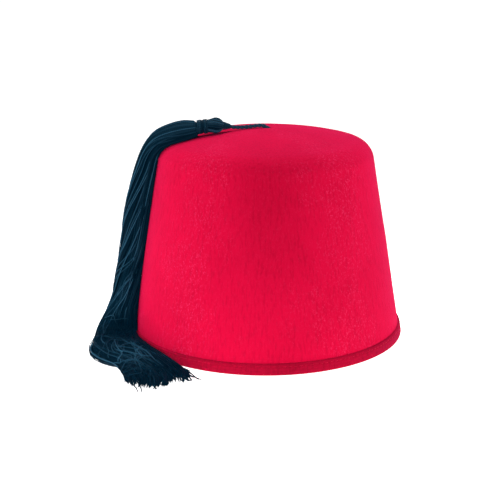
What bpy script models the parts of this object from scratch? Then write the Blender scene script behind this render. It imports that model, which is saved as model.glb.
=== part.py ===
"""A fez: a felt crown with a bound rim, and a wound cord tassel that hangs over one side to the floor.

Metres, +Z up. The origin is the centre of the rim's underside, the hat stands on Z = 0,
the tassel lies on the -X side, and the front of the hat faces -Y.
"""

import math
import random
from collections import namedtuple

import bmesh
import bpy
from mathutils import Vector

# Driving dimensions of the hat
RIM_RADIUS = 0.0950  # outside of the rim binding, where it meets the floor
CROWN_HEIGHT = 0.1318  # where the wall's line and the top's line would meet
TOP_RADIUS = 0.0719  # the same corner's distance from the axis
SHOULDER_RADIUS = 0.0144  # rounding between the wall and the top
DOME_RISE = 0.00924  # rise of the top's middle over that corner
FELT = 0.0020  # thickness of the crown's felt
GAP = 0.0003  # clearance between pieces that touch

# Rim binding: a strip of felt folded round the crown's lower edge
BINDING_FELT = 0.00104
BINDING_HEIGHT = 0.0074
BINDING_ROUND = 0.0007

# Hole in the top, slanted the way that the cord leaves it
HOLE_AT = (0.0010, -0.0014)
HOLE_RADIUS = 0.0017
HOLE_SLANT = math.radians(39)
HOLE_HEADING = math.radians(186)
FLAT_TOP_RADIUS = 0.0070  # the middle of the dome is left flat as far as this

# Cord, from the knot inside the crown to the tassel's head
CORD_RADIUS = 0.0011
CORD_STEP = 0.0040
KNOT_RADIUS = 0.0030
CordPoint = namedtuple("CordPoint", "x y z")
CORD_ROUTE = [
    CordPoint(0.0055, -0.0009, 0.1383),
    CordPoint(0.0033, -0.0011, 0.1402),
    CordPoint(0.0010, -0.0014, 0.1422),
    CordPoint(-0.0016, -0.0018, 0.1436),
    CordPoint(-0.0044, -0.0022, 0.1439),
    CordPoint(-0.0076, -0.0027, 0.1437),
    CordPoint(-0.0110, -0.0034, 0.1434),
    CordPoint(-0.0150, -0.0044, 0.1432),
    CordPoint(-0.0193, -0.0056, 0.1433),
    CordPoint(-0.0223, -0.0067, 0.1437),
    CordPoint(-0.0246, -0.0077, 0.1443),
]

# Head of the tassel: a link bead at the cord, then a knob and a neck turned about one axis
LINK_AT = Vector((-0.0271, -0.0089, 0.1449))
LINK_RADIUS = 0.0024
KNOB_AT = Vector((-0.0335, -0.0100, 0.14545))
KNOB_RADIUS = 0.0053
NECK_END = Vector((-0.0463, -0.0105, 0.1443))
NECK_RADIUS = 0.0038
WINDING_RADIUS = 0.0049
WINDING_LENGTH = 0.0083
WINDING_LOBES = 2
WINDING_GROOVE = 0.0005

# Skirt of the tassel. Each row is one section of the bundle: its middle, half its size towards
# its outer side and across it, where the outer side faces (heading from +X and lift from level,
# in degrees), and how far the locks have turned about the bundle there.
Section = namedtuple("Section", "x y z out across heading lift turn")
SKIRT_SECTIONS = [
    Section(-0.0470, -0.0105, 0.1442, 0.0045, 0.0048, 180, 84, 0),
    Section(-0.0550, -0.0100, 0.1426, 0.0062, 0.0085, 180, 76, 8),
    Section(-0.0645, -0.0090, 0.1397, 0.0062, 0.0110, 180, 68, 16),
    Section(-0.0725, -0.0078, 0.1353, 0.0060, 0.0115, 180, 48, 24),
    Section(-0.0781, -0.0064, 0.1275, 0.0061, 0.0115, 180, 24, 33),
    Section(-0.0815, -0.0048, 0.1165, 0.0070, 0.0115, 180, 14, 42),
    Section(-0.0846, -0.0032, 0.1045, 0.0079, 0.0118, 180, 12, 54),
    Section(-0.0874, -0.0020, 0.0915, 0.0086, 0.0120, 180, 11, 68),
    Section(-0.0898, -0.0014, 0.0785, 0.0089, 0.0120, 180, 10, 84),
    Section(-0.0918, -0.0014, 0.0650, 0.0087, 0.0120, 180, 10, 102),
    Section(-0.0944, -0.0020, 0.0510, 0.0088, 0.0123, 180, 11, 122),
    Section(-0.0967, -0.0042, 0.0375, 0.0090, 0.0130, 181, 11, 140),
    Section(-0.0986, -0.0088, 0.0260, 0.0092, 0.0130, 184, 8, 152),
    Section(-0.1012, -0.0170, 0.0155, 0.0106, 0.0112, 190, 2, 160),
    Section(-0.1022, -0.0290, 0.0086, 0.0140, 0.0078, 196, 0, 166),
    Section(-0.1014, -0.0432, 0.0058, 0.0156, 0.0058, 201, 0, 170),
    Section(-0.0976, -0.0600, 0.0048, 0.0196, 0.0048, 206, 0, 172),
    Section(-0.0849, -0.0742, 0.0040, 0.0173, 0.0040, 210, 0, 174),
    Section(-0.0757, -0.0884, 0.0033, 0.0186, 0.0033, 208, 0, 175),
    Section(-0.0683, -0.1008, 0.0026, 0.0198, 0.0026, 207, 0, 176),
    Section(-0.0620, -0.1108, 0.0019, 0.0198, 0.0019, 208, 0, 176),
]
LOCKS = 15
LOCK_SIDES = 6
LOCK_RINGS = 26
LOCK_SUNK = 0.55  # how much of a lock's radius lies inside the bundle's outline
BACKING_SUNK = 0.40  # how much of a lock's radius the backing lies inside the outline
BACKING_SIDES = 16
BACKING_RINGS = 24
BACKING_END = 0.94  # share of the skirt's length at which the backing ends
LockSize = namedtuple("LockSize", "along radius")
LOCK_SIZES = [
    LockSize(0.00, 0.0013),
    LockSize(0.10, 0.0024),
    LockSize(0.25, 0.0030),
    LockSize(0.60, 0.0032),
    LockSize(0.80, 0.0030),
    LockSize(0.94, 0.0024),
    LockSize(1.00, 0.0011),
]
SHORTEST_LOCK = 0.975  # share of the skirt's length that the shortest lock reaches
LAST_START = 0.02  # share of the skirt's length within which the locks start
LOCK_SEED = 12

TURNED_STEPS = 64
ARC_STEPS = 6
DOME_STEPS = 6
CUTTER_MARGIN = 0.02

FELT_RED = (0.80, 0.008, 0.052)
BINDING_RED = (0.50, 0.006, 0.030)
TASSEL_BLUE = (0.004, 0.018, 0.034)


def clear_objects():
    for thing in list(bpy.data.objects):
        bpy.data.objects.remove(thing, do_unlink=True)


def material(name, colour, roughness):
    made = bpy.data.materials.new(name)
    made.use_nodes = True
    shader = made.node_tree.nodes["Principled BSDF"]
    shader.inputs["Base Color"].default_value = (*colour, 1)
    shader.inputs["Roughness"].default_value = roughness
    shader.inputs["Metallic"].default_value = 0
    return made


def solid(name, shape, finish, smooth_under=35):
    """An object made of a bmesh, with its faces pointing out."""
    bmesh.ops.remove_doubles(shape, verts=shape.verts, dist=1e-6)
    bmesh.ops.recalc_face_normals(shape, faces=shape.faces)
    mesh = bpy.data.meshes.new(name)
    shape.to_mesh(mesh)
    shape.free()
    mesh.materials.append(finish)
    mesh.shade_smooth()
    mesh.set_sharp_from_angle(angle=math.radians(smooth_under))
    made = bpy.data.objects.new(name, mesh)
    bpy.context.collection.objects.link(made)
    return made


def guide(made):
    """Marks an object that only shapes others."""
    made.hide_render = True
    made.display_type = "WIRE"
    return made


def combine(target, operation, tool):
    change = target.modifiers.new(operation.title(), "BOOLEAN")
    change.operation = operation
    change.solver = "EXACT"
    change.use_self = operation == "UNION"
    change.object = tool


def arc(centre, radius, start, end, steps):
    """Points of an arc from one angle to another, in degrees."""
    angles = [math.radians(start + (end - start) * i / steps) for i in range(steps + 1)]
    return [(centre[0] + radius * math.cos(a), centre[1] + radius * math.sin(a)) for a in angles]


def turned(profile, closed, steps=TURNED_STEPS):
    """The profile's (radius, height) points turned about Z; an open profile's ends are filled."""
    shape = bmesh.new()
    points = [shape.verts.new((radius, 0, height)) for radius, height in profile]
    edges = [shape.edges.new(pair) for pair in zip(points, points[1:])]
    if closed:
        edges.append(shape.edges.new((points[-1], points[0])))
    bmesh.ops.spin(
        shape,
        geom=points + edges,
        cent=(0, 0, 0),
        axis=(0, 0, 1),
        angle=math.tau,
        steps=steps,
        use_merge=True,
    )
    bmesh.ops.remove_doubles(shape, verts=shape.verts, dist=1e-6)
    if not closed:
        bmesh.ops.holes_fill(shape, edges=[e for e in shape.edges if e.is_boundary], sides=0)
    return shape


# The crown


def wall_radius(height):
    """Outside radius of the crown's straight wall."""
    foot = RIM_RADIUS - BINDING_FELT - GAP
    return foot + (TOP_RADIUS - foot) * height / CROWN_HEIGHT


def crown_surface(inward, foot):
    """The crown's outline from its foot to the flat of the top, moved inward by a distance."""
    lean = math.atan((wall_radius(0) - TOP_RADIUS) / CROWN_HEIGHT)
    dome_slope = math.atan(2 * DOME_RISE / TOP_RADIUS)
    corner = SHOULDER_RADIUS * math.tan((math.pi / 2 - lean - dome_slope) / 2)
    wall_top = Vector((TOP_RADIUS + corner * math.sin(lean), CROWN_HEIGHT - corner * math.cos(lean)))
    centre = wall_top - SHOULDER_RADIUS * Vector((math.cos(lean), math.sin(lean)))
    radius = SHOULDER_RADIUS - inward
    shoulder = arc(centre, radius, math.degrees(lean), 90 - math.degrees(dome_slope), ARC_STEPS)
    edge = Vector(shoulder[-1])
    rise = math.tan(dome_slope) * edge.x / 2
    dome_radii = [edge.x + (FLAT_TOP_RADIUS - edge.x) * i / DOME_STEPS for i in range(1, DOME_STEPS + 1)]
    dome = [(r, edge.y + rise * (1 - (r / edge.x) ** 2)) for r in dome_radii]
    return [(wall_radius(foot) - inward / math.cos(lean), foot), *shoulder, *dome]


def make_crown(finish):
    foot = BINDING_FELT + GAP
    outside = crown_surface(0, foot)
    inside = crown_surface(FELT, foot)
    profile = list(reversed(outside)) + inside
    shape = turned(profile, closed=False)
    crown = solid("crown", shape, finish)
    combine(crown, "DIFFERENCE", hole_cutter(finish))
    return crown


def hole_cutter(finish):
    direction = Vector(
        (
            math.cos(HOLE_HEADING) * math.cos(HOLE_SLANT),
            math.sin(HOLE_HEADING) * math.cos(HOLE_SLANT),
            math.sin(HOLE_SLANT),
        )
    )
    shape = bmesh.new()
    bmesh.ops.create_cone(
        shape, cap_ends=True, segments=12, radius1=HOLE_RADIUS, radius2=HOLE_RADIUS, depth=CUTTER_MARGIN
    )
    cutter = guide(solid("hole_cutter", shape, finish))
    top = Vector((*HOLE_AT, crown_surface(0, 0)[-1][1]))
    cutter.location = top
    cutter.rotation_mode = "QUATERNION"
    cutter.rotation_quaternion = direction.to_track_quat("Z", "Y")
    return cutter


# The rim binding


def make_rim_binding(finish):
    """A strip folded round the crown's lower edge, so its section is a U that leans with the wall."""

    def leaning(offset, height):
        return (wall_radius(height) + offset, height)

    outer = GAP + BINDING_FELT
    inner = -(FELT + GAP + BINDING_FELT)
    low, top, corner = BINDING_ROUND, BINDING_HEIGHT, BINDING_ROUND / 2
    section = [
        (outer - corner, top),
        (outer, top - corner),
        (outer, low),
        (outer - low * 0.3, low * 0.3),
        (outer - low, 0),
        (inner + low, 0),
        (inner + low * 0.3, low * 0.3),
        (inner, low),
        (inner, top - corner),
        (inner + corner, top),
        (-(FELT + GAP), top),
        (-(FELT + GAP), BINDING_FELT),
        (GAP, BINDING_FELT),
        (GAP, top),
    ]
    return solid("rim_binding", turned([leaning(*p) for p in section], closed=True), finish)


# The cord and the tassel's head


def between(a, b, c, d, t):
    """The Catmull-Rom curve from b at t = 0 to c at t = 1."""
    return 0.5 * (2 * b + (c - a) * t + (2 * a - 5 * b + 4 * c - d) * t**2 + (3 * b - a - 3 * c + d) * t**3)


def smooth_route(points, step):
    """Points about a step apart on the smooth curve through the given ones."""
    points = [Vector(p) for p in points]
    padded = [2 * points[0] - points[1], *points, 2 * points[-1] - points[-2]]
    fine = [points[0]]
    for a, b, c, d in zip(padded, padded[1:], padded[2:], padded[3:]):
        fine += [between(a, b, c, d, k / 8) for k in range(1, 9)]
    along = [0.0]
    for a, b in zip(fine, fine[1:]):
        along.append(along[-1] + (b - a).length)
    count = round(along[-1] / step)
    return [at_distance(fine, along, along[-1] * i / count) for i in range(count + 1)]


def at_distance(points, along, distance):
    for a, b, start, end in zip(points, points[1:], along, along[1:]):
        if distance <= end:
            return a.lerp(b, (distance - start) / (end - start))
    return points[-1]


def make_cord(finish):
    """A plain tube along the cord's route."""
    curve = bpy.data.curves.new("tassel_cord", "CURVE")
    curve.dimensions = "3D"
    curve.bevel_depth = CORD_RADIUS
    curve.bevel_resolution = 2
    curve.use_fill_caps = True
    curve.materials.append(finish)
    line = curve.splines.new("POLY")
    route = smooth_route(CORD_ROUTE, CORD_STEP)
    line.points.add(len(route) - 1)
    for place, point in zip(line.points, route):
        place.co = (*point, 1)
    cord = bpy.data.objects.new("tassel_cord", curve)
    bpy.context.collection.objects.link(cord)
    return cord


def make_cord_knot(finish):
    """The knot under the top that keeps the cord from pulling out."""
    first, second = Vector(CORD_ROUTE[0]), Vector(CORD_ROUTE[1])
    away = (first - second).normalized()
    shape = bmesh.new()
    bmesh.ops.create_uvsphere(shape, u_segments=12, v_segments=8, radius=KNOT_RADIUS)
    knot = solid("cord_knot", shape, finish)
    knot.location = first + away * (KNOT_RADIUS + GAP)
    return knot


def along_head(made):
    """Lays a piece that was turned about Z on the head's axis, with its origin at the knob's middle."""
    made.location = KNOB_AT
    made.rotation_mode = "QUATERNION"
    made.rotation_quaternion = (NECK_END - KNOB_AT).to_track_quat("Z", "Y")
    return made


def make_tassel_head(finish):
    """The knob and the neck turned as one, with the link bead fused on where the cord comes in."""
    length = (NECK_END - KNOB_AT).length
    knob = arc((0, 0), KNOB_RADIUS, -90, 48, 8)
    neck = [(NECK_RADIUS, length - WINDING_LENGTH - GAP), (NECK_RADIUS, length)]
    head = along_head(solid("tassel_head", turned(knob + neck, closed=False, steps=16), finish))
    shape = bmesh.new()
    bmesh.ops.create_uvsphere(shape, u_segments=10, v_segments=6, radius=LINK_RADIUS)
    link = guide(solid("link_bead", shape, finish))
    link.location = LINK_AT
    combine(head, "UNION", link)
    return head


def make_neck_winding(finish):
    """The thread wound round the neck, as a ring with two soft lobes."""
    length = (NECK_END - KNOB_AT).length
    start = length - WINDING_LENGTH
    lobe = WINDING_LENGTH / WINDING_LOBES
    outside = []
    for i in range(WINDING_LOBES):
        for t in (-0.47, -0.25, 0.25, 0.47):
            sunk = WINDING_GROOVE * (2 * t) ** 2
            outside.append((WINDING_RADIUS - sunk, start + lobe * (i + 0.5 + t)))
    inside = NECK_RADIUS + GAP
    ring = [(inside, start), *outside, (inside, length)]
    return along_head(solid("neck_winding", turned(ring, closed=True, steps=20), finish))


# The tassel's skirt


def section_at(along):
    """The section at a share of the skirt's length, on smooth curves through the table's columns."""
    last = len(SKIRT_SECTIONS) - 1
    i = min(int(along * last), last - 1)
    t = along * last - i
    a, b, c, d = (SKIRT_SECTIONS[min(max(k, 0), last)] for k in (i - 1, i, i + 1, i + 2))
    return Section(*(between(*values, t) for values in zip(a, b, c, d)))


def lock_radius(along):
    for a, b in zip(LOCK_SIZES, LOCK_SIZES[1:]):
        if along <= b.along:
            return a.radius + (b.radius - a.radius) * (along - a.along) / (b.along - a.along)
    return LOCK_SIZES[-1].radius


def bundle_frame(along):
    """The section there, with the directions across the bundle and out of it."""
    section = section_at(along)
    before, after = section_at(max(along - 0.01, 0)), section_at(min(along + 0.01, 1))
    ahead = (Vector(after[:3]) - Vector(before[:3])).normalized()
    heading, lift = math.radians(section.heading), math.radians(section.lift)
    faces = Vector((math.cos(heading) * math.cos(lift), math.sin(heading) * math.cos(lift), math.sin(lift)))
    across = faces.cross(ahead).normalized()
    return section, across, ahead.cross(across)


def bundle_point(along, angle, sunk):
    """A point on the bundle's outline, at an angle from its front, sunk in by a distance."""
    section, across, out = bundle_frame(along)
    angle = math.radians(angle + section.turn)
    sideways = max(section.across - sunk, 0) * math.cos(angle)
    outward = max(section.out - sunk, 0) * math.sin(angle)
    return Vector(section[:3]) + across * sideways + out * outward


def loft(shape, rings):
    """Skins rings of points in order and closes both ends."""
    loops = []
    for ring in rings:
        points = [shape.verts.new(p) for p in ring]
        loops.append(points)
    for low, high in zip(loops, loops[1:]):
        for i in range(len(low)):
            j = (i + 1) % len(low)
            shape.faces.new((low[i], low[j], high[j], high[i]))
    shape.faces.new(reversed(loops[0]))
    shape.faces.new(loops[-1])
    return shape


def make_backing(finish):
    """The middle of the bundle, which the locks are fused to."""
    rings = []
    for i in range(BACKING_RINGS + 1):
        along = BACKING_END * i / BACKING_RINGS
        turns = [360 * k / BACKING_SIDES for k in range(BACKING_SIDES)]
        sunk = lock_radius(along) * BACKING_SUNK
        rings.append([bundle_point(along, turn, sunk) for turn in turns])
    return solid("tassel_skirt", loft(bmesh.new(), rings), finish)


def make_lock(number, chance, finish):
    """One lock: a tapered tube that winds along the bundle's outline."""
    angle = 360 * number / LOCKS + chance.uniform(-5, 5)
    start, end = chance.uniform(0, LAST_START), chance.uniform(SHORTEST_LOCK, 1)
    fullness = chance.uniform(0.9, 1.15)
    stops = [start + (end - start) * i / LOCK_RINGS for i in range(LOCK_RINGS + 1)]
    sizes = [lock_radius(stop) * fullness for stop in stops]
    middles = [bundle_point(stop, angle, size * LOCK_SUNK) for stop, size in zip(stops, sizes)]
    rings = []
    for i, (stop, middle, size) in enumerate(zip(stops, middles, sizes)):
        ahead = (middles[min(i + 1, LOCK_RINGS)] - middles[max(i - 1, 0)]).normalized()
        out = ahead.cross(bundle_frame(stop)[1]).normalized()
        across = out.cross(ahead)
        angles = [math.tau * k / LOCK_SIDES for k in range(LOCK_SIDES)]
        rings.append([middle + size * (across * math.cos(a) + out * math.sin(a)) for a in angles])
    return guide(solid(f"lock_{number}", loft(bmesh.new(), rings), finish))


def hat_cutter(finish):
    """The hat's outside with the clearance added, so that the skirt lies against it."""
    clear = [(r, z) for r, z in crown_surface(-GAP, BINDING_HEIGHT + GAP)]
    outer = 2 * GAP + BINDING_FELT
    rim = [(wall_radius(0) + outer, -CUTTER_MARGIN), (wall_radius(0) + outer, 0)]
    rim.append((wall_radius(BINDING_HEIGHT + GAP) + outer, BINDING_HEIGHT + GAP))
    return guide(solid("hat_cutter", turned(rim + clear, closed=False), finish))


def floor_cutter(finish):
    shape = bmesh.new()
    bmesh.ops.create_cube(shape, size=1)
    cutter = guide(solid("floor_cutter", shape, finish))
    cutter.scale = (0.5, 0.5, CUTTER_MARGIN)
    cutter.location = (0, 0, -CUTTER_MARGIN / 2)
    return cutter


def make_tassel_skirt(finish):
    chance = random.Random(LOCK_SEED)
    skirt = make_backing(finish)
    for number in range(LOCKS):
        combine(skirt, "UNION", make_lock(number, chance, finish))
    combine(skirt, "DIFFERENCE", hat_cutter(finish))
    combine(skirt, "DIFFERENCE", floor_cutter(finish))
    return skirt


def main():
    clear_objects()
    felt = material("red_felt", FELT_RED, 0.9)
    binding = material("red_binding", BINDING_RED, 0.9)
    thread = material("blue_thread", TASSEL_BLUE, 0.45)
    make_crown(felt)
    make_rim_binding(binding)
    make_cord(thread)
    make_cord_knot(thread)
    make_tassel_head(thread)
    make_neck_winding(thread)
    make_tassel_skirt(thread)


main()
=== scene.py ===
"""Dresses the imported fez: a felt crown, a bound rim, a twisted cord and a tassel of threads."""

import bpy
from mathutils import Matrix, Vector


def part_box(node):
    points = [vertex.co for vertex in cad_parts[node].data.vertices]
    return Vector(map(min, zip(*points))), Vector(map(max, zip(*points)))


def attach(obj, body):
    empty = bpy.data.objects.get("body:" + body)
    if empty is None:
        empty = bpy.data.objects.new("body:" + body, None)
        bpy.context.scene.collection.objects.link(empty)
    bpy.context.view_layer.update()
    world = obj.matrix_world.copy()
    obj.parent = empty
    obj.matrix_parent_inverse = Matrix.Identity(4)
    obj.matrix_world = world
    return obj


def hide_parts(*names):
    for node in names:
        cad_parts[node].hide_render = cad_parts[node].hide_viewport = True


bl_info = {
    "name": "Felt fez with a tassel",
    "version": (1, 0, 0),
    "blender": (4, 5, 0),
    "location": "3D View > Sidebar > Fez",
    "description": "Felt crown, bound rim, twisted cord and a tassel of loose threads on the packed frame",
    "category": "Object",
}

import math
import random
from collections import namedtuple

import bpy
import numpy as np
from bpy.props import FloatProperty, FloatVectorProperty, IntProperty, PointerProperty
from mathutils import Matrix, Vector

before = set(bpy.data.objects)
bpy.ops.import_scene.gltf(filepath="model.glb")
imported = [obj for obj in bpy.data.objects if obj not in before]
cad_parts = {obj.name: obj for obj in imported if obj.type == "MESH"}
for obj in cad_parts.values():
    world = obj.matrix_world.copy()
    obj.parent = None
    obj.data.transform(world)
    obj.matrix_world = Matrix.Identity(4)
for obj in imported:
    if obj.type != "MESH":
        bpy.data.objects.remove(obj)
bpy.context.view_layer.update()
BINDING_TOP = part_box("rim_binding")[1].z

MM = 0.001
SMOOTH_UNDER = math.radians(40)  # an edge that bends less than this is shaded smooth

# The crown's outline, with the names and values of the part's source
CROWN_HEIGHT = 0.1318  # where the wall's line and the top's line would meet
TOP_RADIUS = 0.0719
SHOULDER_RADIUS = 0.0144
DOME_RISE = 0.00924
GAP = 0.0003  # between the crown and the binding
BINDING_FELT = 0.00104  # thickness of the binding
FOOT_RADIUS = 0.0950 - BINDING_FELT - GAP
LEAN = math.atan((FOOT_RADIUS - TOP_RADIUS) / CROWN_HEIGHT)
DOME_SLOPE = math.atan(2 * DOME_RISE / TOP_RADIUS)
HOLE_AT = (0.0010, -0.0014)
HOLE_RADIUS = 0.0017
HOLE_SLANT = math.radians(39)
HOLE_HEADING = math.radians(186)
CROWN_SIDES = 176
WALL_ROWS = 44
SHOULDER_ROWS = 10
DOME_ROWS = 22
DENT_SIZE = 0.045
BINDING_SIDES = 256
GROOVE_DROP = 0.0018  # from the binding's top down to its stitches
STITCHES = 170
STITCH_RADIUS = 0.00020
STITCH = (  # (share of the way to the next stitch, height off the groove's felt)
    (0.06, -0.0004),
    (0.14, -0.0001),
    (0.35, 0.00002),
    (0.6, 0.00002),
    (0.76, -0.0001),
    (0.84, -0.0004),
)

# The cord's route, from its knot inside the hat to the tassel's head, in millimetres
CORD_ROUTE = [
    (5.5, -0.9, 138.3),
    (3.3, -1.1, 140.2),
    (1.0, -1.4, 142.2),
    (-1.6, -1.8, 143.6),
    (-4.4, -2.2, 143.9),
    (-7.6, -2.7, 143.7),
    (-11.0, -3.4, 143.4),
    (-15.0, -4.4, 143.2),
    (-19.3, -5.6, 143.3),
    (-22.3, -6.7, 143.7),
    (-24.6, -7.7, 144.3),
]
CORD_STRANDS = 2
CORD_EXIT = 2  # the row of the route that lies in the crown's hole
CORD_STEP = 0.00045  # length of the cord from one ring to the next
STRAND_OFFSET = 0.50  # from the cord's middle to a strand's, as a share of the cord's radius
STRAND_THICKNESS = 0.77  # a strand's radius, as a share of the cord's
SWELL = 0.18  # share by which the strands are thicker where they fill the hole
SWELL_REACH = 0.0025
CORD_TONE = 0.30
KNOT_TONE = 0.35

# The tassel's head: a knob, and a wound neck that the skirt comes out of
LINK_AT = Vector((-0.0271, -0.0089, 0.1449))
LINK_TURNS = 7
LINK_THREAD_RADIUS = 0.00036
KNOB_AT = Vector((-0.0335, -0.0100, 0.14545))
KNOB_RADIUS = 0.0053
KNOB_THREADS = 34
KNOB_THREAD_RADIUS = 0.00042
KNOB_TWIST = 0.55  # angle that a thread turns through on its way over the knob, in radians
KNOB_TONES = (0.0, 0.0, 0.15, 0.5)
NECK_END = Vector((-0.0463, -0.0105, 0.1443))
NECK_RADIUS = 0.0038
WINDING_RADIUS = 0.0049
WINDING_LENGTH = 0.0083
WINDING_LOBES = 2
LOBE_DEPTH = 0.0007  # how much thinner the winding is between its lobes
WINDING_THREAD_RADIUS = 0.00034
WINDING_TONES = (0.0, 0.06, 0.12, 0.24)
TURN_POINTS = 22  # points of the winding's thread to a turn

# The skirt's bundle, section by section, as in the part's source: its middle, half its size outward
# and across, the heading and slant that its outside faces, and how far its threads have turned
Section = namedtuple("Section", "x y z out across heading lift turn")
SKIRT_SECTIONS = [
    (-0.0470, -0.0105, 0.1442, 0.0045, 0.0048, 180, 84, 0),
    (-0.0550, -0.0100, 0.1426, 0.0062, 0.0085, 180, 76, 8),
    (-0.0645, -0.0090, 0.1397, 0.0062, 0.0110, 180, 68, 16),
    (-0.0725, -0.0078, 0.1353, 0.0060, 0.0115, 180, 48, 24),
    (-0.0781, -0.0064, 0.1275, 0.0061, 0.0115, 180, 24, 33),
    (-0.0815, -0.0048, 0.1165, 0.0070, 0.0115, 180, 14, 42),
    (-0.0846, -0.0032, 0.1045, 0.0079, 0.0118, 180, 12, 54),
    (-0.0874, -0.0020, 0.0915, 0.0086, 0.0120, 180, 11, 68),
    (-0.0898, -0.0014, 0.0785, 0.0089, 0.0120, 180, 10, 84),
    (-0.0918, -0.0014, 0.0650, 0.0087, 0.0120, 180, 10, 102),
    (-0.0944, -0.0020, 0.0510, 0.0088, 0.0123, 180, 11, 122),
    (-0.0967, -0.0042, 0.0375, 0.0090, 0.0130, 181, 11, 140),
    (-0.0986, -0.0088, 0.0260, 0.0092, 0.0130, 184, 8, 152),
    (-0.1012, -0.0170, 0.0155, 0.0106, 0.0112, 190, 2, 160),
    (-0.1022, -0.0290, 0.0086, 0.0140, 0.0078, 196, 0, 166),
    (-0.1014, -0.0432, 0.0058, 0.0156, 0.0058, 201, 0, 170),
    (-0.0976, -0.0600, 0.0048, 0.0196, 0.0048, 206, 0, 172),
    (-0.0849, -0.0742, 0.0040, 0.0173, 0.0040, 210, 0, 174),
    (-0.0757, -0.0884, 0.0033, 0.0186, 0.0033, 208, 0, 175),
    (-0.0683, -0.1008, 0.0026, 0.0198, 0.0026, 207, 0, 176),
    (-0.0620, -0.1108, 0.0019, 0.0198, 0.0019, 208, 0, 176),
]
STATIONS = 241  # places along the skirt where its sections are worked out
HALF_ACROSS, HALF_OUT, TURN = 9, 10, 11  # columns of a station's row, after its place and directions
HANKS = 4  # pieces that the skirt's threads are shared out between
THREAD_RINGS = 76
THREAD_TIP = 0.4  # thickness of a thread's last ring, as a share of the thread's own
LOCKS = 30  # locks that the threads are drawn to on the way down
LOCK_DRAW = 0.45  # share of the way to its lock that a thread is drawn
BUNDLE_WAVES = (0.05, 0.04, 0.02)  # sizes of the waves along a thread, as shares of the bundle's half size
FAN_SIDE_WAVES = (0.08, 0.08, 0.05)
FAN_DEPTH_WAVES = (0.25, 0.25, 0.15)
HAT_SIDE_BULGE = 0.24  # share by which the skirt is fuller against the wall
SKIRT_SEED = 7  # seed of the dark threads' random draws
LIGHT_SEED = 3  # seed of the lighter threads' random draws
LIGHT_THREADS = 16  # lighter threads spaced round the skirt's outside, each a painted highlight
FAN_LOOPS = 70  # stray threads that curl over the fan
LOOP_ENDS = (0.65, 0.97)  # shares of the skirt's length that the loops stay between
LOOP_SIDES = 0.95  # share of the fan's half width that they stay within
HAT_SIDE_THREADS = 80  # more threads along the hat, which close the skirt's edge there
HAT_SIDE_ANGLES = (230, 345)  # where they lie round the skirt, in degrees from its front
HAT_SIDE_TONES = (0.0, 0.0, 0.03, 0.06, 0.12)
HAT_SIDE_LIGHT = (300, 312, 322, 332)  # angles of the lightest threads along the hat, a painted highlight along the skirt's edge
HAT_SIDE_LIGHT_TONE = 0.7

# Threads that stick out of the fan's edge: place across the fan, lean, and reach past the skirt's end
Stray = namedtuple("Stray", "lateral lean reach")
STRAYS = [
    Stray(-0.98, -0.14, 0.034),
    Stray(-0.93, -0.12, 0.030),
    Stray(-1.00, -0.02, 0.020),
    Stray(-0.75, 0.05, 0.016),
    Stray(0.45, 0.06, 0.020),
    Stray(0.52, -0.08, 0.018),
    Stray(0.96, 0.20, 0.014),
    Stray(0.90, 0.24, 0.012),
]
TUFTS = 19  # tufts that the threads' ends gather in along the fan's edge
SWEEP = (0.42, 0.65)  # shares of the skirt's length between which its threads wind faster
SKIRT_LENGTH = 0.215  # along the skirt's middle
FAN_HALF_WIDTH = 0.019
SHOULDER_ENDS = (0.08, 0.30)  # shares of the length over which the skirt comes over the shoulder
SHOULDER_TONE = 0.60  # share of their tone that the light threads have before it
FOLD = 0.66  # share of the skirt's length at which it meets the floor
FOLD_ENDS = (0.67, 0.77)  # shares of the length over which the light threads darken at the fold, as painted shade
FOLD_DULLING = 0.85  # share of their tone that they lose there
NECK_TUCK = 0.009  # share of the skirt's length that is hidden in the neck's winding
SUNK = 0.0003  # how far the middles of the outer threads lie inside the sections
THREAD_GAP = 0.0001  # left between the threads and the hat

# The hollow in the skirt's front, just above the fold, pressed in and dark with painted shade
HOLLOW_AT = np.array([-0.0955, -0.0400, 0.0120])
HOLLOW_REACH = np.array([0.0140, 0.0120, 0.0085])
HOLLOW_PUSH = np.array([0.0006, 0.0080, -0.0040])

# The felt's patterns: the scale, detail and roughness of the noise behind each
CLOUDS = (22, 2, 0.5)
STREAKS = (760, 3, 0.6)
FINE_STREAKS = (1500, 2, 0.6)
FLECKS = (800, 3, 0.6)
CURLS = (620, 2, 0.6)
FIBRES = (1500, 4, 0.7)
RAGGED = (45, 3, 0.6)
FINE_STREAK_SHARE = 0.25  # how far each of these turns the felt to its shade colour
CLOUD_SHARE = 0.30
PAINTED_SHADE_SHARE = 0.65
FIBRE_AND_GLINT_BANDS = 5  # upright bands round the crown where more pale flecks show, loose fibres with painted glints on them, the first at the back

# The broad patch of painted shade high on the front, and its reach each way
PAINTED_SHADE_AT = (0.0025, -0.0790, 0.1120)
PAINTED_SHADE_REACH = (0.036, 0.060, 0.052)

# The thread's pattern
PLIES = 2
HIGHLIGHT_CHANGES = (3, 2, 0.5)  # scale, detail and roughness of the slow changes along a thread in how much painted highlight it shows
THREAD_PAINTED_GLOW = 0.6  # how strongly a thread gives off its own colour, a painted glow that shows in the deepest shade

# The photograph's camera
CAMERA_AIM = Vector((-0.01048, 0.0, 0.05546))
CAMERA_DISTANCE = 0.7703
CAMERA_ELEVATION = math.radians(15.4275)
CAMERA_ROLL = math.radians(-0.4014)
CAMERA_LENS = 79.14

# The floor, just under the rim, and the distances from its middle over which its own light changes
FLOOR_DROP = 0.0002
RIM_GLOW_ENDS = (0.11, 0.26)
FAR_GLOW_BEGINS = (0.6, 1.6)


# Settings


def colour_setting(name, about, default):
    return FloatVectorProperty(name=name, description=about, subtype="COLOR", default=default, min=0, max=1)


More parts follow.
